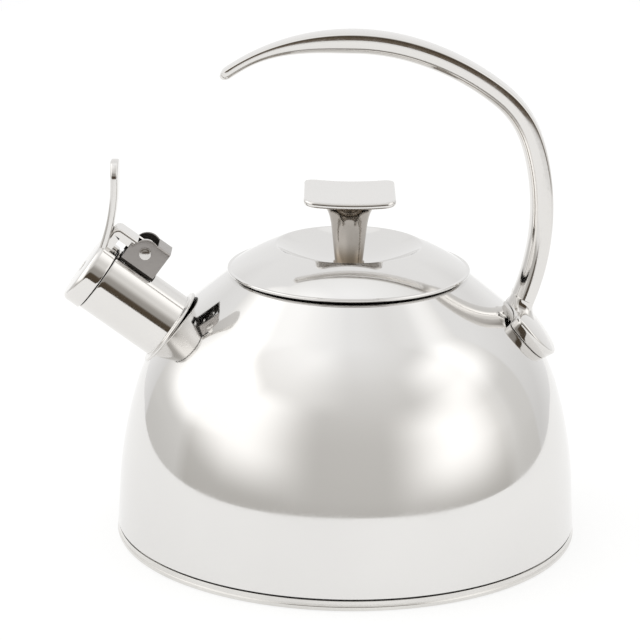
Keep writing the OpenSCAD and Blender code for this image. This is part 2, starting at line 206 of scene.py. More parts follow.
def make_piece(name, skin, body, nodes, material, crease=32, painted_shade=None):
    """Makes a smooth mesh from (vertices, faces), facing outwards, and hands it to the frame.

    The last argument, when given, holds at every vertex how much shade is painted on, from 0 for none to 1
    for full painted shade.
    """
    vertices, faces = skin
    used, faces = np.unique(faces, return_inverse=True)
    vertices, faces = vertices[used], faces.reshape(-1, 4)
    a, b, c, d = (vertices[faces[:, k]] for k in range(4))
    volume = np.einsum("ij,ij->", a, np.cross(b, c)) + np.einsum("ij,ij->", a, np.cross(c, d))
    if volume < 0:
        faces = faces[:, ::-1]
    piece = new_object(name, vertices, faces, material)
    piece.data.shade_smooth()
    piece.data.set_sharp_from_angle(angle=rad(crease))
    if painted_shade is not None:
        share = piece.data.attributes.new("painted_shade", "FLOAT", "POINT")
        share.data.foreach_set("value", painted_shade[used].astype(np.float32))
    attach(piece, body)
    if nodes:
        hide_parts(*nodes)
    return piece


# ---- finishes ----


class Nodes:
    """Short calls for wiring a node tree."""

    def __init__(self, tree):
        self.tree = tree
        tree.nodes.clear()

    def add(self, kind, inputs=None, **settings):
        """A node with its settings, and its inputs linked or set by name or number."""
        node = self.tree.nodes.new(kind)
        for key, value in settings.items():
            setattr(node, key, value)
        for key, value in (inputs or {}).items():
            if isinstance(value, bpy.types.NodeSocket):
                self.tree.links.new(value, node.inputs[key])
            else:
                node.inputs[key].default_value = value
        return node

    def math(self, operation, *values):
        """One arithmetic step."""
        return self.add("ShaderNodeMath", dict(enumerate(values)), operation=operation).outputs[0]

    def scale(self, value, low, high, to_low, to_high, smooth=False):
        """value mapped from low..high to to_low..to_high."""
        kind = "SMOOTHSTEP" if smooth else "LINEAR"
        inputs = {0: value, 1: low, 2: high, 3: to_low, 4: to_high}
        return self.add("ShaderNodeMapRange", inputs, interpolation_type=kind).outputs[0]

    def blend(self, share, first, second):
        """A colour between first and second."""
        inputs = {0: share, 6: first, 7: second}
        return self.add("ShaderNodeMix", inputs, data_type="RGBA").outputs[2]


def new_material(name):
    """An empty node material and its node helper."""
    material = bpy.data.materials.new(name)
    material.use_nodes = True
    return material, Nodes(material.node_tree)


def metal(name, colour, rough, grain_scale, grain_rough, bump, turn=0.0, shade_colour=None, shade_rough=0.3):
    """Bare metal: cloudy colour, roughness from haze and directional grain, and a faint relief.

    colour is linear RGB and rough the low and high roughness of the haze. The grain is noise on
    Object coordinates turned by turn degrees about Y and stretched by grain_scale; it adds
    grain_rough of roughness and bump metres of relief. Where the piece's shade attribute is 1 the
    metal takes the given dark colour, which is painted shade, and gains the given extra roughness.
    """
    material, nodes = new_material(name)
    place = nodes.add("ShaderNodeTexCoord").outputs["Object"]
    haze = nodes.add("ShaderNodeTexNoise", {"Vector": place, "Scale": 45.0, "Detail": 4.0}).outputs[0]
    cloud = nodes.add("ShaderNodeTexNoise", {"Vector": place, "Scale": 14.0, "Detail": 2.0}).outputs[0]
    turned = nodes.add(
        "ShaderNodeMapping",
        {"Vector": place, "Rotation": (0.0, rad(turn), 0.0), "Scale": grain_scale},
    ).outputs[0]
    grain = nodes.add("ShaderNodeTexNoise", {"Vector": turned, "Scale": 1.0, "Detail": 5.0}).outputs[0]
    roughness = nodes.math(
        "ADD",
        nodes.scale(haze, 0.35, 0.7, rough[0], rough[1]),
        nodes.scale(grain, 0.4, 0.75, 0.0, grain_rough),
    )
    shade = nodes.blend(
        nodes.scale(cloud, 0.35, 0.65, 0.0, 1.0),
        (*[c * 0.97 for c in colour], 1.0),
        (*colour, 1.0),
    )
    # Painted shade: the vertex attribute blends the colour towards the given dark shade colour and adds
    # roughness.
    if shade_colour:
        painted_shade = nodes.add("ShaderNodeAttribute", attribute_name="painted_shade").outputs["Fac"]
        shade = nodes.blend(painted_shade, shade, shade_colour)
        roughness = nodes.math("ADD", roughness, nodes.math("MULTIPLY", painted_shade, shade_rough))
    relief = nodes.add("ShaderNodeBump", {"Height": grain, "Strength": 1.0, "Distance": bump})
    shader = nodes.add(
        "ShaderNodeBsdfPrincipled",
        {"Base Color": shade, "Metallic": 1.0, "Roughness": roughness, "Normal": relief.outputs[0]},
    )
    nodes.add("ShaderNodeOutputMaterial", {0: shader.outputs[0]})
    return material


def spun_metal(name, colour, rough, ring_scale, bump):
    """Metal turned on a lathe: fine rings whose roughness and relief follow the radius from Z."""
    material, nodes = new_material(name)
    place = nodes.add("ShaderNodeTexCoord").outputs["Object"]
    x, y, _ = nodes.add("ShaderNodeSeparateXYZ", {0: place}).outputs
    squares = nodes.math("ADD", nodes.math("MULTIPLY", x, x), nodes.math("MULTIPLY", y, y))
    radius = nodes.math("SQRT", squares)
    rings = nodes.add(
        "ShaderNodeTexNoise", {"W": radius, "Scale": ring_scale, "Detail": 4.0}, noise_dimensions="1D"
    ).outputs[0]
    stain = nodes.add("ShaderNodeTexNoise", {"Vector": place, "Scale": 22.0, "Detail": 4.0}).outputs[0]
    shade = nodes.blend(
        nodes.scale(stain, 0.35, 0.65, 0.0, 1.0), (*[c * 0.9 for c in colour], 1.0), (*colour, 1.0)
    )
    relief = nodes.add("ShaderNodeBump", {"Height": rings, "Strength": 1.0, "Distance": bump})
    shader = nodes.add(
        "ShaderNodeBsdfPrincipled",
        {
            "Base Color": shade,
            "Metallic": 1.0,
            "Roughness": nodes.scale(rings, 0.3, 0.7, rough[0], rough[1]),
            "Normal": relief.outputs[0],
        },
    )
    nodes.add("ShaderNodeOutputMaterial", {0: shader.outputs[0]})
    return material


SPOUT_ANGLE = 36

# mirror_sheet's dark colour is painted shade: under the lid's hem, over the inside of the dome and under
# the lid.
mirror_sheet = metal(
    "mirror_sheet", (0.775, 0.765, 0.752), (0.035, 0.075), (900.0, 900.0, 900.0), 0.03, 2e-7,
    shade_colour=(0.10, 0.095, 0.09, 1.0),
)
# A near-black material: painted shade for the dark gap under the hinge saddle.
painted_gap_shade = metal("painted_gap_shade", (0.05, 0.045, 0.04), (0.45, 0.6), (900.0, 900.0, 900.0), 0.1, 6e-6)
# mirror_spout's near-black colour is painted shade on the spout trim's side that faces the dome.
mirror_spout = metal(
    "mirror_spout", (0.77, 0.755, 0.735), (0.05, 0.10), (900.0, 900.0, 900.0), 0.04, 4e-7,
    shade_colour=(0.03, 0.028, 0.026, 1.0),
)
mirror_rim = spun_metal("mirror_rim", (0.76, 0.745, 0.72), (0.06, 0.14), 3000.0, 1e-6)
# mirror_casting's brown is painted reflection and shade on the knob's neck.
mirror_casting = metal(
    "mirror_casting", (0.76, 0.745, 0.725), (0.05, 0.10), (500.0, 500.0, 500.0), 0.04, 5e-7,
    shade_colour=(0.11, 0.06, 0.005, 1.0), shade_rough=0.06,
)
# satin_sheet's dark colour is painted shade on the inside of the hinge saddle's channel.
satin_sheet = metal(
    "satin_sheet", (0.42, 0.40, 0.385), (0.30, 0.38), (120.0, 900.0, 4000.0), 0.10, 4e-6, SPOUT_ANGLE,
    shade_colour=(0.06, 0.055, 0.05, 1.0),
)
satin_inside = spun_metal("satin_inside", (0.60, 0.59, 0.575), (0.22, 0.36), 2500.0, 3e-6)
plain_aluminium = spun_metal("plain_aluminium", (0.68, 0.68, 0.69), (0.30, 0.45), 1200.0, 4e-6)
whistle_sheet = metal(
    "whistle_sheet", (0.66, 0.66, 0.665), (0.22, 0.32), (700.0, 700.0, 700.0), 0.08, 3e-6
)
bright_fastener = metal(
    "bright_fastener", (0.70, 0.685, 0.665), (0.12, 0.22), (1500.0, 1500.0, 300.0), 0.08, 2e-6
)
drawn_wire = metal("drawn_wire", (0.22, 0.215, 0.21), (0.22, 0.32), (300.0, 3000.0, 3000.0), 0.1, 2e-6)


# ---- body: a leaning wall, a soft haunch, a rounder shoulder, a straight cone, a rolled neck ----

body_low, body_high = corners("body_shell")
base_high = corners("base_cap")[1]

SHEET = 0.8
BODY_R, BODY_Z0 = body_high[0], body_low[2]
WALL_LEAN, WALL_Z1 = 3.3, 23
HAUNCH_R, HAUNCH_END = 183, 17
SHOULDER_R, SHOULDER_END = 75, 50.5
NECK_R, NECK_ROLL, NECK_BOTTOM = 45, 2, 112.5
LID_COVER, INSIDE_SHADE = 50.6, 0.5

haunch_x = BODY_R - (WALL_Z1 - BODY_Z0) * math.tan(rad(WALL_LEAN)) - HAUNCH_R * math.cos(rad(WALL_LEAN))
haunch_z = WALL_Z1 - HAUNCH_R * math.sin(rad(WALL_LEAN))
shoulder_x = haunch_x + (HAUNCH_R - SHOULDER_R) * math.cos(rad(HAUNCH_END))
shoulder_z = haunch_z + (HAUNCH_R - SHOULDER_R) * math.sin(rad(HAUNCH_END))
cone_x = shoulder_x + SHOULDER_R * math.cos(rad(SHOULDER_END))
cone_z = shoulder_z + SHOULDER_R * math.sin(rad(SHOULDER_END))
neck_x = NECK_R + NECK_ROLL
neck_z = (
    cone_z
    + (cone_x - neck_x - NECK_ROLL * math.cos(rad(SHOULDER_END))) * math.tan(rad(90 - SHOULDER_END))
    - NECK_ROLL * math.sin(rad(SHOULDER_END))
)


def dome_outline(gap):
    """Outline of the dome from its foot to the lip of the mouth, moved outwards by gap."""
    roll = arc(neck_x, neck_z, NECK_ROLL + gap, SHOULDER_END, 180, 12)
    shoulder = arc(shoulder_x, shoulder_z, SHOULDER_R + gap, HAUNCH_END, SHOULDER_END, 34)
    haunch = arc(haunch_x, haunch_z, HAUNCH_R + gap, WALL_LEAN, HAUNCH_END, 26)
    return np.concatenate(
        [
            run((BODY_R + gap, BODY_Z0), haunch[0], 6)[:-1],
            haunch[:-1],
            shoulder,
            run(shoulder[-1], roll[0], 16)[1:-1],
            roll,
            run(roll[-1], (NECK_R - gap, NECK_BOTTOM), 3)[1:],
        ]
    )


# ---- spout frame: t out along the spout, h square to it on the upper side ----

pin = np.array(next(j["pos_m"] for j in frame["joints"] if j["name"] == "whistle_hinge")) / MM
PIN_T, PIN_H = 29.1, 22.0
along = np.array([-math.cos(rad(SPOUT_ANGLE)), 0.0, math.sin(rad(SPOUT_ANGLE))])
above = np.array([math.sin(rad(SPOUT_ANGLE)), 0.0, math.cos(rad(SPOUT_ANGLE))])
spout_foot = pin - PIN_T * along - PIN_H * above
SPOUT_R, SPOUT_WALL, SPOUT_IN, SPOUT_LEN = 15.0, 0.8, 5.0, 38.0


def at_spout(t, h, y):
    """Points from their spout coordinates."""
    t, h, y = np.broadcast_arrays(t, h, y)
    return spout_foot + t[..., None] * along + h[..., None] * above + y[..., None] * Y_AXIS


def round_spout(points, turns=TURNS // 2):
    """An (r, t) outline carried round the spout's axis."""
    grid = revolve(points, turns)
    return at_spout(grid[..., 2], grid[..., 0], grid[..., 1])


def fit_spout_hole(grid, profile, edge, radius):
    """Moves the marked points onto the hole's edge: the circle of that radius about the spout's
    axis, at the distance along it where the dome's outline has the same r and z (found by halving)."""
    moved = grid.copy()
    from_foot = grid[edge] - spout_foot
    h, y = from_foot @ above, from_foot[:, 1]
    size = radius / np.hypot(h, y)
    h, y = h * size, y * size
    low, high = np.full(len(h), -20.0), np.full(len(h), 20.0)
    for _ in range(40):
        middle = (low + high) / 2
        point = at_spout(middle, h, y)
        outside = np.hypot(point[:, 0], point[:, 1]) > np.interp(point[:, 2], profile[:, 1], profile[:, 0])
        low, high = np.where(outside, low, middle), np.where(outside, middle, high)
    moved[edge] = at_spout(high, h, y)
    return moved


def build_body():
    """Revolved dome with thickness; the cells inside the spout hole are left out and the points
    round them are moved onto the hole's circle on both faces."""
    hole = SPOUT_R + 0.05
    profiles = [dome_outline(0), dome_outline(-SHEET)]
    grids = [revolve(profile) for profile in profiles]
    outer = grids[0]
    around = np.concatenate([outer, outer[:, :1]], 1)
    middle = (around[:-1, :-1] + around[1:, 1:]) / 2 - spout_foot
    keep = (np.hypot(middle @ above, middle[..., 1]) > hole) | (middle @ along < -30)
    table = vertex_table(outer, False, True)
    in_kept = np.isin(np.arange(outer.shape[0] * outer.shape[1]), cells(table)[keep])
    in_cut = np.isin(np.arange(outer.shape[0] * outer.shape[1]), cells(table)[~keep])
    edge = (in_kept & in_cut).reshape(outer.shape[:2])
    climbing = [profile[np.concatenate([[True], np.diff(profile[:, 1]) > 0])] for profile in profiles]
    fitted = [fit_spout_hole(g, p, edge, hole) for g, p in zip(grids, climbing)]
    skin = thick_sheet(fitted[0], fitted[1], keep, True)
    radius = np.hypot(fitted[0][..., 0], fitted[0][..., 1])
    # Painted shade: a dark band on the dome under the lid's hem, where the gap is in shadow, and half
    # painted shade over the whole inside face.
    under_lid = 1 - ease(radius, LID_COVER - 0.3, LID_COVER + 0.1)
    painted_shade = np.concatenate([under_lid.ravel(), np.full(under_lid.size, INSIDE_SHADE)])
    return make_piece(
        "body_dome", skin, "kettle", ["body_shell"], mirror_sheet, painted_shade=painted_shade
    )


# ---- base rim ----


def build_base():
    """Revolved capsule: a rounded lower band, a shallow groove, and an upper band that leans in and
    stops a step below the wall, so that a thin gap runs round under it."""
    r, h = base_high[0], base_high[2]
    band, wall, lean = 1.5, 0.8, rad(11)
    step = 0.45
    slope = np.array([-math.sin(lean), math.cos(lean)])
    top = np.array([r - 0.12, 2.95]) + slope * (h - step - 3.1)
    points = outline(
        [[r - 12, 0], [r - band, 0]],
        arc(r - band, band, band, -90, -5, 14),
        arc(r - 1.0, 1.75, 1.0, 0, 30, 5),
        arc(r - 0.02, 2.62, 0.22, 250, 150, 8),
        [[r - 0.12, 2.95], top],
        arc(top[0] - 0.15, top[1] + 0.03, 0.15, 11, 90, 4),
        [[r - 1.6, h - step], [r - 1.6, 3.2]],
        arc(r - 4.2, wall + 2.2, 2.2, 0, -90, 10),
        [[r - 12, wall]],
    )
    inner = [[0, wall], [0, 0]]
    points = outline(points, run((r - 12, wall), inner[0], 24)[1:])
    points = outline(run(inner[1], (r - 12, 0), 24), points)
    skin = closed_skin(revolve(points))
    make_piece("base_rim", skin, "kettle", ["base_cap"], mirror_rim)


# ---- spout ----


def build_spout():
    """Tube with rounded ends, and the trim disc where it leaves the dome, with shade painted on the dome's
    side.
    """
    edge = SPOUT_WALL / 2
    middle = SPOUT_R - edge
    points = outline(
        run((SPOUT_R, -SPOUT_IN + edge), (SPOUT_R, SPOUT_LEN - edge), 40),
        arc(middle, SPOUT_LEN - edge, edge, 0, 180, 8),
        run((SPOUT_R - SPOUT_WALL, SPOUT_LEN - edge), (SPOUT_R - SPOUT_WALL, -SPOUT_IN + edge), 40),
        arc(middle, -SPOUT_IN + edge, edge, 180, 352, 8),
    )
    skin = closed_skin(round_spout(points), wrap_rows=True)
    make_piece("spout_pipe", skin, "kettle", ["spout_tube"], mirror_spout)
    bead, lip, foot, fillet, slack = 0.7, 3.0, 0.2, 0.6, 0.05
    rise = foot + bead
    points = outline(
        [[SPOUT_R + slack, foot]],
        arc(SPOUT_R + lip - bead, rise, bead, -90, 90, 16),
        arc(SPOUT_R + 0.3 + fillet, rise + bead + fillet, fillet, -90, -170, 8),
        [[SPOUT_R + slack, rise + bead + fillet - 0.1]],
    )
    grid = round_spout(points)
    # Painted shade: the rows of the trim that face the dome are darkened to near black.
    facing_dome = (np.arange(len(points)) < 6).astype(float)
    make_piece(
        "spout_trim", closed_skin(grid, wrap_rows=True), "kettle", ["spout_flange"],
        mirror_spout, painted_shade=np.repeat(facing_dome, grid.shape[1]),
    )


# ---- pressed channels: the hinge bracket and the cap arm ----


def channel_section(low, high, up, half_width, bend, steps=8):
    """One face of an inverted U of sheet for every row of a path.

    low and high are rows x 2 (t, h) points where the sides start and where the top runs, and up is
    the direction from one to the other. The section climbs the near side, turns through a bend,
    crosses, turns again and comes down the far side.
    """
    reach = np.einsum("ij,ij->i", high - low, up)
    turn = np.radians(np.linspace(0, 90, steps + 1))
    side = np.linspace(0, 1, 7)[:-1]
    climb = [(-half_width, 0.0, k) for k in side]
    climb += [(-half_width + bend * (1 - math.cos(a)), bend * (math.sin(a) - 1), 1.0) for a in turn]
    cross = [(y, 0.0, 1.0) for y in np.linspace(-half_width + bend, half_width - bend, 9)[1:-1]]
    section = np.array(climb + cross + [(-y, lift, k) for y, lift, k in climb[::-1]])
    y, lift, k = section.T
    length = k * (reach[:, None] - bend) + (bend + lift) * (k == 1)
    t = low[:, :1] + length * up[:, :1]
    h = low[:, 1:] + length * up[:, 1:]
    return at_spout(t, h, y + 0 * t)


def channel_sheet(low, high, up, half_width, bend, top_kept):
    """Two channel sections a sheet's thickness apart, with the top and its bends only on the kept
    rows. Gives the skin, and the share of painted shade: 1 on the inside's vertices and 0 on the
    outside's."""
    outer = channel_section(low, high, up, half_width, bend)
    inner = channel_section(low, high - SHEET * up, up, half_width - SHEET, max(bend - SHEET, 0.15))
    keep = np.ones((outer.shape[0] - 1, outer.shape[1] - 1), bool)
    top = np.arange(outer.shape[1] - 1)
    crossing = (top >= 10) & (top < outer.shape[1] - 11)
    keep[np.ix_(~top_kept[:-1], crossing)] = False
    return thick_sheet(outer, inner, keep, False), np.repeat([0.0, 1.0], outer.size // 3)


def build_bracket():
    """Cheeks with a round nose, joined over the back by a short top, and a black block of painted shade
    under them.
    """
    half, bend, nose_r = 7.0, 1.1, 5.9
    back, web, straight, front = 20.0, 26.4, 34.2, 36.5
    foot, top, least = 14.9, 28.0, 1.2
    nose_t, nose_h = PIN_T, top - nose_r + 0.6
    t = np.concatenate([np.linspace(back, web, 8), np.linspace(web + 0.1, front, 30)])
    over = nose_h + np.sqrt(np.clip(nose_r**2 - (t - nose_t) ** 2, 0.0, None))
    slope = nose_h + (front + 0.6 - t) * 4.0
    high = np.where(t < nose_t, np.maximum(top, over), np.minimum(over, slope))
    high = np.where(t > straight, np.minimum(high, np.maximum(slope, foot - 0.9)), high)
    high = np.maximum(np.where(t < web + 0.1, top, high), foot + least)
    low = np.stack([t, np.full_like(t, foot)], -1)
    up = np.tile([0.0, 1.0], (len(t), 1))
    skin, inside = channel_sheet(low, np.stack([t, high], -1), up, half, bend, t < web + 0.05)
    # Painted shade: the inside of the channel is darkened as if in shadow.
    make_piece(
        "hinge_saddle", skin, "kettle", ["hinge_bracket"], satin_sheet, crease=40, painted_shade=inside
    )
    # Painted shade: a near-black block under the saddle stands for the shadowed gap between saddle and
    # pipe.
    middle, block_high, block_wide = foot - 0.6, 1.6, 6.1
    spine = at_spout(np.linspace(back - 0.5, front - 0.3, 30), middle, 0.0)
    u, v = superellipse(40, 5.0).T[..., None]
    grid = close_ends(spine[:, None] + block_high * u * above + block_wide * v * Y_AXIS, spine)
    make_piece("saddle_shade_block", closed_skin(grid), "kettle", [], painted_gap_shade, crease=50)


CAP_R, CAP_WALL, CAP_START, CAP_END = 15.75, 0.6, 38.4, 46.9


def build_arm():
    """Channel that starts as an eye round the pin, runs out as a bar and turns down to the cap."""
    eye, top, under, front, leg, foot = 3.6, 24.3, 19.9, 45.8, 41.6, 14.6
    half, bend, turn_r, top_from = 5.8, 1.0, 3.0, 34.5
    round_eye = PIN_T - eye * np.cos(np.radians(np.linspace(4, 90, 14)))
    t = np.concatenate([round_eye, np.linspace(PIN_T, leg - 1.0, 24)[1:]])
    arch = np.sqrt(np.clip(eye**2 - (t - PIN_T) ** 2, 0, None))
    bar_high = np.where(t > PIN_T, np.maximum(PIN_H + arch, top), PIN_H + arch)
    bar_low = np.where(t > PIN_T, np.minimum(PIN_H - arch, under), PIN_H - arch)
    turn = np.radians(np.linspace(90, 0, 12))[1:]
    corner = np.array([front - turn_r, top - turn_r])
    elbow = corner + turn_r * np.stack([np.cos(turn), np.sin(turn)], -1)
    drop = np.linspace(elbow[-1][1], foot, 12)[1:]
    outside = np.stack([np.full_like(drop, front), drop], -1)
    inside = np.stack([np.full_like(drop, leg), drop], -1)
    high = np.concatenate([np.stack([t, bar_high], -1), elbow, outside])
    low = np.concatenate([np.stack([t, bar_low], -1), np.tile([leg, under], (len(turn), 1)), inside])
    up = high - low
    up[:len(t)] = (0.0, 1.0)
    up[-len(drop):] = (1.0, 0.0)
    up /= np.linalg.norm(up, axis=1)[:, None]
    kept = np.concatenate([t > top_from, np.ones(len(turn) + len(drop), bool)])
    skin, _ = channel_sheet(low, high, up, half, bend, kept)
    make_piece("cap_yoke", skin, "whistle_cap", ["cap_arm"], mirror_spout, crease=40)


def build_pin():
    """Hinge pin: a shank, a crowned head on the near side and a peened tail on the far one."""
    head_r, head_h, tail_r = 2.6, 1.1, 2.1
    crown = arc(0, 7.0 - 5.6, 6.7, 90, 72.5, 8)
    points = outline(
        crown,
        arc(head_r - 0.45, 7.45, 0.45, 40, 0, 5),
        [[head_r, 7.0], [1.4, 7.0], [1.4, -7.0], [tail_r, -7.0]],
        arc(tail_r - 0.5, -7.2, 0.5, 0, -90, 6),
        [[0, -7.7]],
    )
    grid = revolve(points, 64)
    placed = np.stack([pin[0] + grid[..., 0], -grid[..., 2], pin[2] + grid[..., 1]], -1)
    placed[..., 1] = np.clip(placed[..., 1], -7.0 - head_h, None)
    make_piece("hinge_rivet", closed_skin(placed), "kettle", ["hinge_pin"], bright_fastener)


def build_spring():
    """Wound spring: a helix round the pin between two straight legs that leave it as tangents."""
    wire, coil_r, half_w, winds = 0.35, 2.45, 3.4, 7.6
    a = np.linspace(90, 90 - 360 * winds, int(48 * winds))
    turn = np.radians(a)
    y = np.linspace(-half_w, half_w, len(a))
    coil = at_spout(PIN_T + coil_r * np.cos(turn), PIN_H + coil_r * np.sin(turn), y)
    leg_in = at_spout(np.linspace(PIN_T - 7.4, PIN_T - 0.3, 10), PIN_H + coil_r, np.full(10, -half_w))
    heading = np.array([np.sin(turn[-1]), -np.cos(turn[-1])])
    reach = np.linspace(0.3, 8.0, 10)
    end_t = PIN_T + coil_r * np.cos(turn[-1]) + reach * heading[0]
    end_h = PIN_H + coil_r * np.sin(turn[-1]) + reach * heading[1]
    leg_out = at_spout(end_t, end_h, np.full(10, half_w))
    skin = closed_skin(tube(np.concatenate([leg_in, coil, leg_out]), wire, 10))
    make_piece("wound_spring", skin, "kettle", ["return_spring"], drawn_wire)


# ---- whistle cap and thumb lever ----


def build_cap():
    """Cup with a rounded rim, a faintly crowned face and a steam hole with a turned-in lip."""
    corner, hole, crown = 2.4, 2.6, 0.35
    shoulder = arc(CAP_R - corner, CAP_END - corner - crown, corner, 0, 86, 14)
    inner = arc(CAP_R - corner, CAP_END - corner - crown, corner - CAP_WALL, 86, 0, 14)
    r = np.linspace(shoulder[-1][0], hole + 0.4, 24)
    rise = CAP_END - crown * (r / shoulder[-1][0]) ** 2
    face = np.stack([r, rise], -1)
    lip = arc(hole + 0.3, CAP_END - 0.3, 0.3, 90, 180, 5)
    points = outline(
        arc(CAP_R - 0.3, CAP_START + 0.3, 0.3, 180, 360, 8),
        run((CAP_R, CAP_START + 0.3), shoulder[0], 8),
        shoulder, face[1:], lip, [[hole, CAP_END - CAP_WALL]],
        (face - [0, CAP_WALL])[::-1], inner,
        run(inner[-1], (CAP_R - CAP_WALL, CAP_START + 0.3), 8),
    )
    skin = closed_skin(round_spout(points), wrap_rows=True)
    make_piece("whistle_cup", skin, "whistle_cap", ["cap_shell"], mirror_spout)


def build_lever():
    """Curved thumb blade: a rounded rectangle carried up an arc and on up, closing in a round top."""
    lever_low, lever_high = corners("thumb_lever")
    half_t, half_w, bend, shift = 1.75, (lever_high[1] - lever_low[1]) / 2, 80, 1.6
    centre_x, centre_z = lever_high[0] + shift - bend - 2 * half_t, 155.0
    foot, top, round_r = 123.6, lever_high[2], half_w - 0.5
    low = math.degrees(math.asin((foot - centre_z) / bend))
    a = np.radians(np.linspace(low, 0, 40))
    arc_rows = [centre_x, centre_z] + (bend + half_t) * np.stack([np.cos(a), np.sin(a)], -1)
    rise = top - (top - centre_z) * (1 - np.sin(np.linspace(0, np.pi / 2, 34)[1:]))
    top_rows = np.stack([np.full_like(rise, arc_rows[-1][0]), rise], -1)
    rows = np.concatenate([arc_rows, top_rows])
    lean = np.concatenate([a, np.zeros(len(rise))])
    across = np.stack([np.cos(lean), np.sin(lean)], -1)
    over = np.clip(rows[:, 1] - (top - round_r), 0, round_r)
    wide = half_w - round_r + np.sqrt(round_r**2 - over**2)
    edge = 0.8
    close = np.clip((rows[:, 1] - (top - edge)) / edge, 0, 1)
    closing = np.sqrt(np.clip(1 - close**2, 0, 1))
    thick = half_t * (0.35 + 0.65 * closing)
    skin = closed_skin(sweep(rows, across, thick, wide, superellipse(56, 5.0)))
    make_piece("thumb_blade", skin, "whistle_cap", ["thumb_lever"], mirror_casting)


# ---- handle ----

ARCH_X, ARCH_Z, ARCH_START = 77.8, 99.2, -23.5
ARCH_RADII = (109, 80, 46, 113, 95.5)
ARCH_ENDS = (13, 20, 52, 76, 127)
ARCH_T, ARCH_W = 10.0, 16.0


def arch_edge(a):
    """Outer edge of the arch at normal angles a (degrees), and it starts at (ARCH_X, ARCH_Z).

    The radius of curvature passes smoothly from each arc's to the next within five degrees, and
    the edge is the running sum of radius x (-sin a, cos a).
    """
    radius = np.full_like(a, ARCH_RADII[0], dtype=float)
    for end, before, after in zip(ARCH_ENDS, ARCH_RADII, ARCH_RADII[1:]):
        radius += (after - before) * ease(a, end - 5, end + 5)
    step = np.radians(np.diff(a))
    middle = np.radians((a[1:] + a[:-1]) / 2)
    size = (radius[1:] + radius[:-1]) / 2
    move = np.stack([-np.sin(middle) * size * step, np.cos(middle) * size * step], -1)
    return np.concatenate([[[ARCH_X, ARCH_Z]], np.array([ARCH_X, ARCH_Z]) + np.cumsum(move, 0)])


def build_handle():
    """Arch swept inside its outer edge: a crowned outer face with firm corners and a rounder inner
    side, thinning and narrowing over the tip, which closes in a half round."""
    tip = ARCH_ENDS[-1]
    closing = 2.4
    even = np.linspace(ARCH_START, tip - closing, 260)
    last = tip - closing * (1 - np.sin(np.linspace(0, np.pi / 2, 24)[1:]))
    a = np.concatenate([even, last])
    edge = arch_edge(a)
    taper = np.sqrt(np.clip(1 - ((a - tip + closing) / closing).clip(0, 1) ** 2, 0, 1))
    thick = ARCH_T - 5.2 * ease(a, 90, 120)
    wide = (ARCH_W - 1.5 * ease(a, 30, 85) - 4 * ease(a, 85, tip)) * taper
    normal = np.stack([np.cos(np.radians(a)), np.sin(np.radians(a))], -1)
    centre = edge - normal * thick[:, None] * 0.5
    q = np.arange(96) * 2 * np.pi / 96
    c, s = np.cos(q), np.sin(q)
    level, firm, soft, crown = 0.52, 12.0, 2.2, 0.14
    power = 2 / np.where(c > 0, firm, soft)
    side = np.abs(s) ** power
    rise = np.abs(c) ** power
    u = level - crown * side**2 + np.where(c > 0, 1 - level, -1 - level) * rise
    section = np.stack([u, np.sign(s) * side], -1)
    skin = closed_skin(sweep(centre, normal, thick / 2 * taper, wide / 2, section))
    make_piece("handle_arch", skin, "kettle", ["handle"], mirror_casting)


FOOT_ANGLE, FOOT_LEN, FOOT_W, FOOT_H = 37.7, 22.6, 45.0, 5.6


def on_dome(slope, y, height):
    """Points a height above the shoulder: slope runs down it in mm from the foot's centre, and y
    round the kettle."""
    angle = np.radians(FOOT_ANGLE) - slope / SHOULDER_R
    r = shoulder_x + (SHOULDER_R + height) * np.cos(angle)
    z = shoulder_z + (SHOULDER_R + height) * np.sin(angle)
    turn = y / (shoulder_x + SHOULDER_R * np.cos(np.radians(FOOT_ANGLE)))
    return np.stack([r * np.cos(turn), r * np.sin(turn), z + 0 * turn], -1)


def rounded_rectangle(half_x, half_y, low_corner, high_corner, columns):
    """Outline of a rectangle with round corners, evenly spaced; the corners at +x and at -x differ."""
    bends = [
        arc(sx * (half_x - r), sy * (half_y - r), r, start, start + 90, 24)
        for sx, sy, r, start in (
            (1, 1, low_corner, 0), (-1, 1, high_corner, 90),
            (-1, -1, high_corner, 180), (1, -1, low_corner, 270),
        )
    ]
    loop = np.concatenate(bends + [bends[0][:1]])
    length = np.concatenate([[0], np.cumsum(np.linalg.norm(np.diff(loop, axis=0), axis=1))])
    even = np.arange(columns) * length[-1] / columns
    return np.stack([np.interp(even, length, loop[:, 0]), np.interp(even, length, loop[:, 1])], -1)


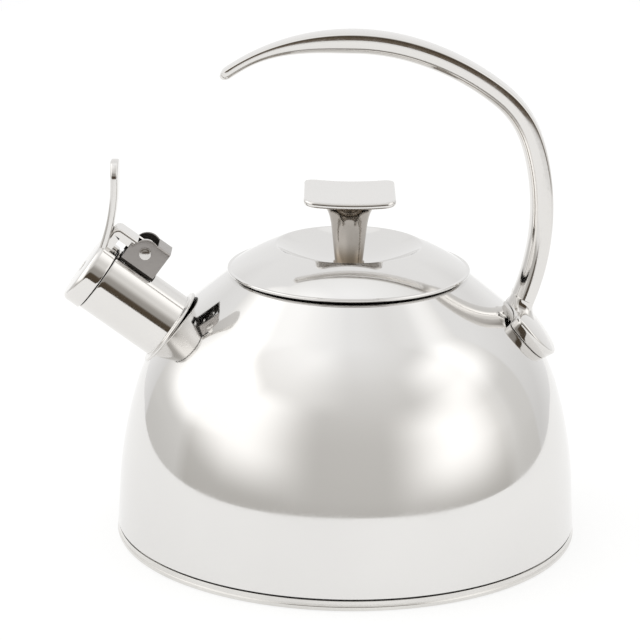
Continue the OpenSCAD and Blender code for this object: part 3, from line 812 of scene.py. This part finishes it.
def build_foot():
    """Shoe that follows the dome, and the neck that swells from it into the foot of the arch."""
    columns, fillet, gap = 160, 1.1, 0.12
    edge = rounded_rectangle(FOOT_LEN / 2, FOOT_W / 2, 17.0, 3.0, columns)
    turn = np.radians(np.linspace(0, 90, 8))
    inset = [(k, 0.0, gap) for k in np.linspace(0, 0.96, 14)]
    inset += [(1.0, 0.5 * (1 - math.sin(a)), gap + 0.5 * (1 - math.cos(a))) for a in turn]
    inset += [(1.0, 0.0, h) for h in np.linspace(gap + 0.6, FOOT_H - fillet, 5)[1:-1]]
    inset += [(1.0, fillet * (1 - math.cos(a)), FOOT_H - fillet * (1 - math.sin(a))) for a in turn]
    inset += [(k, fillet, FOOT_H) for k in np.linspace(0.96, 0, 14)]
    share, cut, height = np.array(inset).T
    half = np.array([FOOT_LEN / 2, FOOT_W / 2])
    shrink = share[:, None] * (1 - cut[:, None] / half)
    slope = edge[:, 0] * shrink[:, :1]
    y = edge[:, 1] * shrink[:, 1:]
    skin = closed_skin(on_dome(slope, y, height[:, None]))
    make_piece("handle_shoe", skin, "kettle", ["handle_foot"], mirror_casting)

    k = np.linspace(0, 1, 40)
    flare = (1 - k) ** 2.4
    start, angle = np.array([shoulder_x, shoulder_z]), np.radians(41.0)
    first = start + (SHOULDER_R + 2.5) * np.array([math.cos(angle), math.sin(angle)])
    root = np.radians(ARCH_START)
    tangent = np.array([-math.sin(root), math.cos(root)])
    outward = np.array([math.cos(root), math.sin(root)])
    last = np.array([ARCH_X, ARCH_Z]) - outward * ARCH_T / 2 + tangent * 5
    second = first + 3.5 * np.array([math.cos(angle), math.sin(angle)]) + [-2.0, 0]
    third = last - tangent * 5.5
    weights = [(1 - k) ** 3, 3 * k * (1 - k) ** 2, 3 * k**2 * (1 - k), k**3]
    path = sum(w[:, None] * p for w, p in zip(weights, (first, second, third, last)))
    downhill = np.array([math.sin(angle), -math.cos(angle)])
    across = (1 - k)[:, None] * downhill + k[:, None] * outward
    across /= np.linalg.norm(across, axis=1)[:, None]
    half_t, half_w = 5.15 + 5.6 * flare, 8.4 + 13.0 * flare
    skin = closed_skin(sweep(path, across, half_t, half_w, superellipse(96, 2.8)))
    make_piece("handle_neck", skin, "kettle", [], mirror_casting)


# ---- lid ----

lid_high = corners("lid_shell")[1]
CROWN_R, CROWN_Z = 88.0, 45.9
CREST_R, CREST_ROLL, DISH_ANGLE = 31.5, 1.4, 122.0
HEM_R, HEM_Z = 0.75, 117.35

crest_angle = math.degrees(math.acos((CREST_R + 0.5) / CROWN_R))
crest_x = (CROWN_R - CREST_ROLL) * math.cos(rad(crest_angle))
crest_z = CROWN_Z + (CROWN_R - CREST_ROLL) * math.sin(rad(crest_angle))
dish_edge_x = crest_x + CREST_ROLL * math.cos(rad(DISH_ANGLE))
dish_edge_z = crest_z + CREST_ROLL * math.sin(rad(DISH_ANGLE))
dish_r = dish_edge_x / math.sin(rad(DISH_ANGLE - 90))
dish_z = dish_edge_z + dish_r * math.cos(rad(DISH_ANGLE - 90))


def build_lid():
    """Revolved lid: rolled hem, domed crown, a roll over the crest and a bowl-shaped dish. The
    underside and the hem's inner edge are darkened with painted shade."""
    lid_r = lid_high[0]
    start = math.degrees(math.acos((lid_r - HEM_R) / CROWN_R))
    hole = 2.2
    hole_angle = -90 + math.degrees(math.asin(hole / dish_r))
    top = outline(
        arc(lid_r - HEM_R, HEM_Z, HEM_R, -170, 48, 16),
        arc(0, CROWN_Z, CROWN_R, start + 0.55, crest_angle, 26),
        arc(crest_x, crest_z, CREST_ROLL, crest_angle, DISH_ANGLE, 14),
        arc(0, dish_z, dish_r, DISH_ANGLE - 180, hole_angle, 30),
    )
    underside = outline(
        arc(0, dish_z, dish_r + SHEET, hole_angle, DISH_ANGLE - 180, 30),
        arc(crest_x, crest_z, CREST_ROLL - SHEET, DISH_ANGLE, crest_angle, 14),
        arc(0, CROWN_Z, CROWN_R - SHEET, crest_angle, start + 0.7, 26),
    )
    points = outline(top, underside)
    rows = np.arange(len(points))
    # Painted shade on the underside rows and on the first rows of the hem, its inner edge.
    painted_shade = np.repeat(np.where((rows > len(top)) | (rows < 4), 1.0, 0.0), TURNS)
    skin = closed_skin(revolve(points), wrap_rows=True)
    return make_piece("lid_crown", skin, "lid", ["lid_shell"], mirror_sheet, painted_shade=painted_shade)


def build_knob():
    """One skin from the foot of the neck, up its taper and flare, under, round and over the bowed
    finger plate.

    Each ring passes from a circle to a rounded rectangle, and the plate's rings are lifted by the
    bow R - sqrt(R^2 - x^2). The neck carries brown painted reflection and shade, most at its
    foot and under the plate.
    """
    knob_low, knob_high = corners("lid_knob")
    half_x, half_y = knob_high[0], knob_high[1]
    foot, top = knob_low[2], knob_high[2]
    columns, bow_r, plate_t, edge = 160, 160.0, 2.6, 0.9
    under = top - 1.2 - plate_t
    waist, taper, flare, flare_high = 5.9, 0.108, 8.5, 12.0
    flare_from = under - flare_high
    rise = np.sin(np.linspace(0, np.pi / 2, 26)) ** 0.8 * flare_high
    height = np.concatenate([np.linspace(foot + 1.0, flare_from, 14)[:-1], flare_from + rise[:-1]])
    share = np.clip(height - flare_from, 0, None) / flare_high
    radius = waist + taper * (np.minimum(height, flare_from + 3) - foot)
    radius += flare * (1 - np.sqrt(1 - share**2))
    neck = outline(
        [[0.001, foot], [6.3, foot]],
        arc(6.3, foot + 0.35, 0.35, -90, 60, 6),
        np.stack([radius, height], -1),
    )
    reach = neck[-1, 0]
    rows = [(r, 0.0, 0.0, z, 0.0) for r, z in neck]
    for k in np.linspace(0, 1, 12)[1:]:
        rows.append((reach, k, edge, under, 1.0 if k > 0.999 else k))
    for a in np.radians(np.linspace(-90, 90, 15))[1:]:
        lift = under + plate_t / 2 + (plate_t / 2) * math.sin(a)
        rows.append((reach, 1.0, edge * (1 - math.cos(a) ** 0.8), lift, 1.0))
    for k in np.linspace(1, 0, 26)[1:]:
        rows.append((0.0, k, edge, under + plate_t, 1.0))
    radius, share, cut, z, bowed = np.array(rows).T
    q = rounded_rectangle(half_x, half_y, 5.0, 5.0, columns)
    direction = q / np.linalg.norm(q, axis=1)[:, None]
    circle = radius[:, None, None] * direction
    plate = q * (1 - cut[:, None, None] / np.array([half_x, half_y]))
    ring = circle * (1 - share[:, None, None]) + plate * share[:, None, None]
    lift = bow_r - np.sqrt(bow_r**2 - ring[..., 0] ** 2)
    grid = np.concatenate([ring, (z[:, None] + bowed[:, None] * lift)[..., None]], -1)
    grid[-1] = grid[-1].mean(0)
    grid[0] = grid[0].mean(0)
    # Painted reflection and shade: the neck is browned most at its foot and just under the plate.
    painted_neck_shade = 0.78 - 0.36 * ease(neck[:, 1], foot + 2, foot + 11)
    painted_neck_shade += 0.40 * ease(neck[:, 1], under - 5, under)
    painted_shade = np.repeat(np.concatenate([painted_neck_shade, np.zeros(len(rows) - len(neck))]), columns)
    skin = closed_skin(grid)
    make_piece("knob_cast", skin, "lid", ["lid_knob"], mirror_casting, painted_shade=painted_shade)


# ---- CAD nodes that keep their shape ----


def dress(material, *nodes):
    """Gives CAD nodes their finish."""
    for node in nodes:
        slots = frame["nodes"][node].data.materials
        slots.clear()
        slots.append(material)


dome = build_body()
build_base()
build_spout()
build_bracket()
build_arm()
build_pin()
build_spring()
build_cap()
build_lever()
build_handle()
build_foot()
crown = build_lid()
build_knob()
dress(satin_inside, "bottom_pan", "lid_skirt")
dress(plain_aluminium, "heat_disc")
dress(whistle_sheet, "whistle_inner_plate", "whistle_spacer", "whistle_outer_plate")
dress(bright_fastener, "handle_screws", "handle_washers", "knob_screw", "knob_washer")


# ---- studio ----


def window(nodes, value, start, full, full_end, end):
    """1 between full and full_end, falling smoothly to 0 at start and end."""
    rise = nodes.scale(value, start, full, 0.0, 1.0, smooth=True)
    fall = nodes.scale(value, full_end, end, 1.0, 0.0, smooth=True)
    return nodes.math("MULTIPLY", rise, fall)


def heading(nodes, ray):
    """Degrees round from the front (towards +X) and degrees above the horizon of a unit direction."""
    x, y, z = nodes.add("ShaderNodeSeparateXYZ", {0: ray}).outputs
    turn = nodes.math("MULTIPLY", nodes.math("ARCTAN2", x, nodes.math("MULTIPLY", y, -1.0)), 180 / math.pi)
    return turn, nodes.math("MULTIPLY", nodes.math("ARCSINE", z), 180 / math.pi), y, z


def room_light(nodes, turn, height):
    """Light of the grey room: brighter overhead, with a wide light box on the left and a faint one
    above it, and two soft lights on the right, one low and one higher and further round."""
    ramp = nodes.add("ShaderNodeValToRGB", {0: nodes.scale(height, -90.0, 90.0, 0.0, 1.0)})
    stops = (
        (-90, 0.96), (-9.8, 0.96), (-8.4, 0.52), (-1.5, 0.575), (1.5, 0.61), (20, 0.655), (30, 0.69),
        (45, 0.765), (55, 0.825), (65, 0.905), (75, 0.96), (85, 1.03),
    )
    points = ramp.color_ramp.elements
    for _ in stops[2:]:
        points.new(0.5)
    for point, (angle, level) in zip(points, stops):
        warm = 0.06 * (1 - level)
        point.position = (angle + 90) / 180
        point.color = (level * (1 + warm), level, level * (1 - 1.6 * warm), 1.0)
    low_edge = nodes.math("SUBTRACT", height, nodes.scale(turn, -120.0, -65.0, 7.0, 0.0))
    high_edge = nodes.math("SUBTRACT", height, nodes.scale(turn, -105.0, -60.0, 15.0, 0.0))
    tall = nodes.math(
        "MULTIPLY", nodes.scale(low_edge, -3.0, 11.0, 0.0, 1.0, smooth=True),
        nodes.scale(high_edge, 34.0, 47.0, 1.0, 0.0, smooth=True),
    )
    left = nodes.math("MULTIPLY", window(nodes, turn, -140.0, -108.0, -58.0, -13.0), tall)
    glow = nodes.math("MULTIPLY", left, 0.72)
    lamps = (
        (0.30, (-150.0, -95.0, -50.0, 8.0), (34.0, 47.0, 68.0, 90.0)),
        (0.74, (17.0, 59.0, 66.0, 106.0), (-7.0, 9.0, 20.0, 42.0)),
        (0.56, (38.0, 82.0, 97.0, 124.0), (22.0, 39.0, 50.0, 65.0)),
    )
    for strength, around, upward in lamps:
        share = nodes.math("MULTIPLY", window(nodes, turn, *around), window(nodes, height, *upward))
        glow = nodes.math("ADD", glow, nodes.math("MULTIPLY", share, strength))
    inputs = {0: 1.0, 6: ramp.outputs[0], 7: glow}
    return nodes.add("ShaderNodeMix", inputs, data_type="RGBA", blend_type="ADD").outputs[2]


def build_studio():
    """Sky painted by direction: a grey room in front and overhead, between two upright corners and
    the sloping edge of a white sweep that rises behind the kettle."""
    world = bpy.data.worlds.new("studio")
    bpy.context.scene.world = world
    world.use_nodes = True
    nodes = Nodes(world.node_tree)
    turn, height, y, z = heading(nodes, nodes.add("ShaderNodeTexCoord").outputs["Generated"])
    overhead = nodes.scale(y, -0.03, 0.12, 0.0, 1.0)
    inputs = {0: overhead, 6: room_light(nodes, turn, height), 7: (0.13, 0.135, 0.14, 1.0)}
    room = nodes.add("ShaderNodeMix", inputs, data_type="RGBA", blend_type="ADD").outputs[2]
    tilt = rad(22)
    upper = nodes.math(
        "SUBTRACT", nodes.math("MULTIPLY", z, math.sin(tilt)), nodes.math("MULTIPLY", y, math.cos(tilt))
    )
    in_front = window(nodes, turn, -133.0, -131.0, 117.0, 119.0)
    in_room = nodes.math("MAXIMUM", in_front, nodes.scale(upper, -0.012, 0.012, 0.0, 1.0, smooth=True))
    behind = nodes.scale(nodes.math("ABSOLUTE", turn), 122.0, 158.0, 0.0, 1.0)
    lift = nodes.math("MAXIMUM", behind, nodes.scale(height, -5.0, 38.0, 0.0, 1.0))
    sweep_light = nodes.blend(lift, (0.75, 0.745, 0.74, 1.0), (0.965, 0.965, 0.965, 1.0))
    surround = nodes.blend(in_room, sweep_light, room)
    seen = nodes.add("ShaderNodeLightPath").outputs["Is Camera Ray"]
    sky = nodes.blend(seen, surround, (1.0, 1.0, 1.0, 1.0))
    backdrop = nodes.add("ShaderNodeBackground", {0: sky})
    nodes.add("ShaderNodeOutputWorld", {0: backdrop.outputs[0]})


def build_dark_card(clean):
    """Dark card behind the camera: a patch of a ball 2.6 m round the kettle that lets little light
    through, least near the table. It gives its share of the room back where a clean piece shows it
    directly, and nowhere else."""
    radius = 2600.0
    turn, height = np.meshgrid(np.radians(np.linspace(-46, 46, 55)), np.radians(np.linspace(-12, 42, 37)))
    level = np.cos(height)
    grid = radius * np.stack([np.sin(turn) * level, -np.cos(turn) * level, np.sin(height)], -1)
    faces = cells(vertex_table(grid, False, False)).reshape(-1, 4)
    material, nodes = new_material("card_shade")
    place = nodes.add("ShaderNodeTexCoord").outputs["Object"]
    ray = nodes.add("ShaderNodeVectorMath", {0: place}, operation="NORMALIZE").outputs[0]
    turn, height, _, _ = heading(nodes, ray)
    wide = window(nodes, turn, -34.0, -24.0, 31.0, 43.0)
    tall = nodes.math("MULTIPLY", window(nodes, height, -8.4, -7.2, 21.0, 38.0), 0.50)
    low = nodes.math("MULTIPLY", window(nodes, height, -8.4, -7.2, 8.0, 13.0), 0.50)
    cover = nodes.math("MULTIPLY", wide, nodes.math("ADD", tall, low))
    through = nodes.blend(cover, (1.0, 1.0, 1.0, 1.0), (0.14, 0.11, 0.08, 1.0))
    kept = nodes.blend(cover, (0.0, 0.0, 0.0, 1.0), (0.86, 0.89, 0.92, 1.0))
    inputs = {0: 1.0, 6: room_light(nodes, turn, height), 7: kept}
    given = nodes.add("ShaderNodeMix", inputs, data_type="RGBA", blend_type="MULTIPLY").outputs[2]
    clear = nodes.add("ShaderNodeBsdfTransparent", {0: through})
    depth = nodes.add("ShaderNodeLightPath").outputs["Ray Depth"]
    light = nodes.add("ShaderNodeEmission", {0: given, 1: nodes.math("LESS_THAN", depth, 1.5)})
    both = nodes.add("ShaderNodeAddShader", {0: clear.outputs[0], 1: light.outputs[0]})
    nodes.add("ShaderNodeOutputMaterial", {0: both.outputs[0]})
    card = new_object("dark_card", grid.reshape(-1, 3), faces, material)
    card.visible_camera = card.visible_shadow = card.visible_diffuse = False
    receivers = bpy.data.collections.new("clean_pieces")
    for piece in clean:
        receivers.objects.link(piece)
    card.light_linking.receiver_collection = receivers


def build_floor():
    """White table under the kettle: radii grow evenly to an ellipse that is shorter in front."""
    side, front, back = 470.0, 700.0, 1700.0
    a = np.arange(180) * 2 * np.pi / 180
    deep = np.where(np.sin(a) < 0, front, back)
    edge = np.stack([side * np.cos(a), deep * np.sin(a), 0 * a], -1)
    k = np.linspace(0, 1, 30)[:, None, None]
    vertices, faces = closed_skin(edge[None] * k + np.array([0.0, 0.0, -0.02]))
    material, nodes = new_material("white_table")
    place = nodes.add("ShaderNodeTexCoord").outputs["Object"]
    mottle = nodes.add("ShaderNodeTexNoise", {"Vector": place, "Scale": 6.0, "Detail": 3.0}).outputs[0]
    shade = nodes.blend(mottle, (0.30, 0.30, 0.30, 1.0), (0.32, 0.32, 0.318, 1.0))
    soft = nodes.add("ShaderNodeBsdfDiffuse", {"Color": shade})
    glow = nodes.add("ShaderNodeEmission", {"Color": (1.0, 1.0, 0.997, 1.0), "Strength": 0.72})
    both = nodes.add("ShaderNodeAddShader", {0: soft.outputs[0], 1: glow.outputs[0]})
    nodes.add("ShaderNodeOutputMaterial", {0: both.outputs[0]})
    new_object("table", vertices, faces[:, ::-1], material)


def build_camera():
    """Long lens from the front, a little above, aimed just left of the kettle's middle."""
    distance, tilt, roll = 1150.0, rad(16.45), rad(0.62)
    target = np.array([-12.05, 0.0, 93.9])
    forward = np.array([0.0, math.cos(tilt), -math.sin(tilt)])
    level, upright = np.array([1.0, 0.0, 0.0]), np.array([0.0, math.sin(tilt), math.cos(tilt)])
    right = level * math.cos(roll) + upright * math.sin(roll)
    up = upright * math.cos(roll) - level * math.sin(roll)
    place = (target - distance * forward) * MM
    data = bpy.data.cameras.new("studio_camera")
    data.sensor_width = 36.0
    data.lens = 149.96
    data.clip_start, data.clip_end = 0.05, 20.0
    camera = bpy.data.objects.new("studio_camera", data)
    columns = np.stack([right, up, -forward, place], -1)
    camera.matrix_world = Matrix([*columns.tolist(), [0.0, 0.0, 0.0, 1.0]])
    bpy.context.scene.collection.objects.link(camera)
    bpy.context.scene.camera = camera


build_studio()
build_dark_card([dome, crown])
build_floor()
build_camera()
bpy.context.scene.view_settings.view_transform = "Standard"
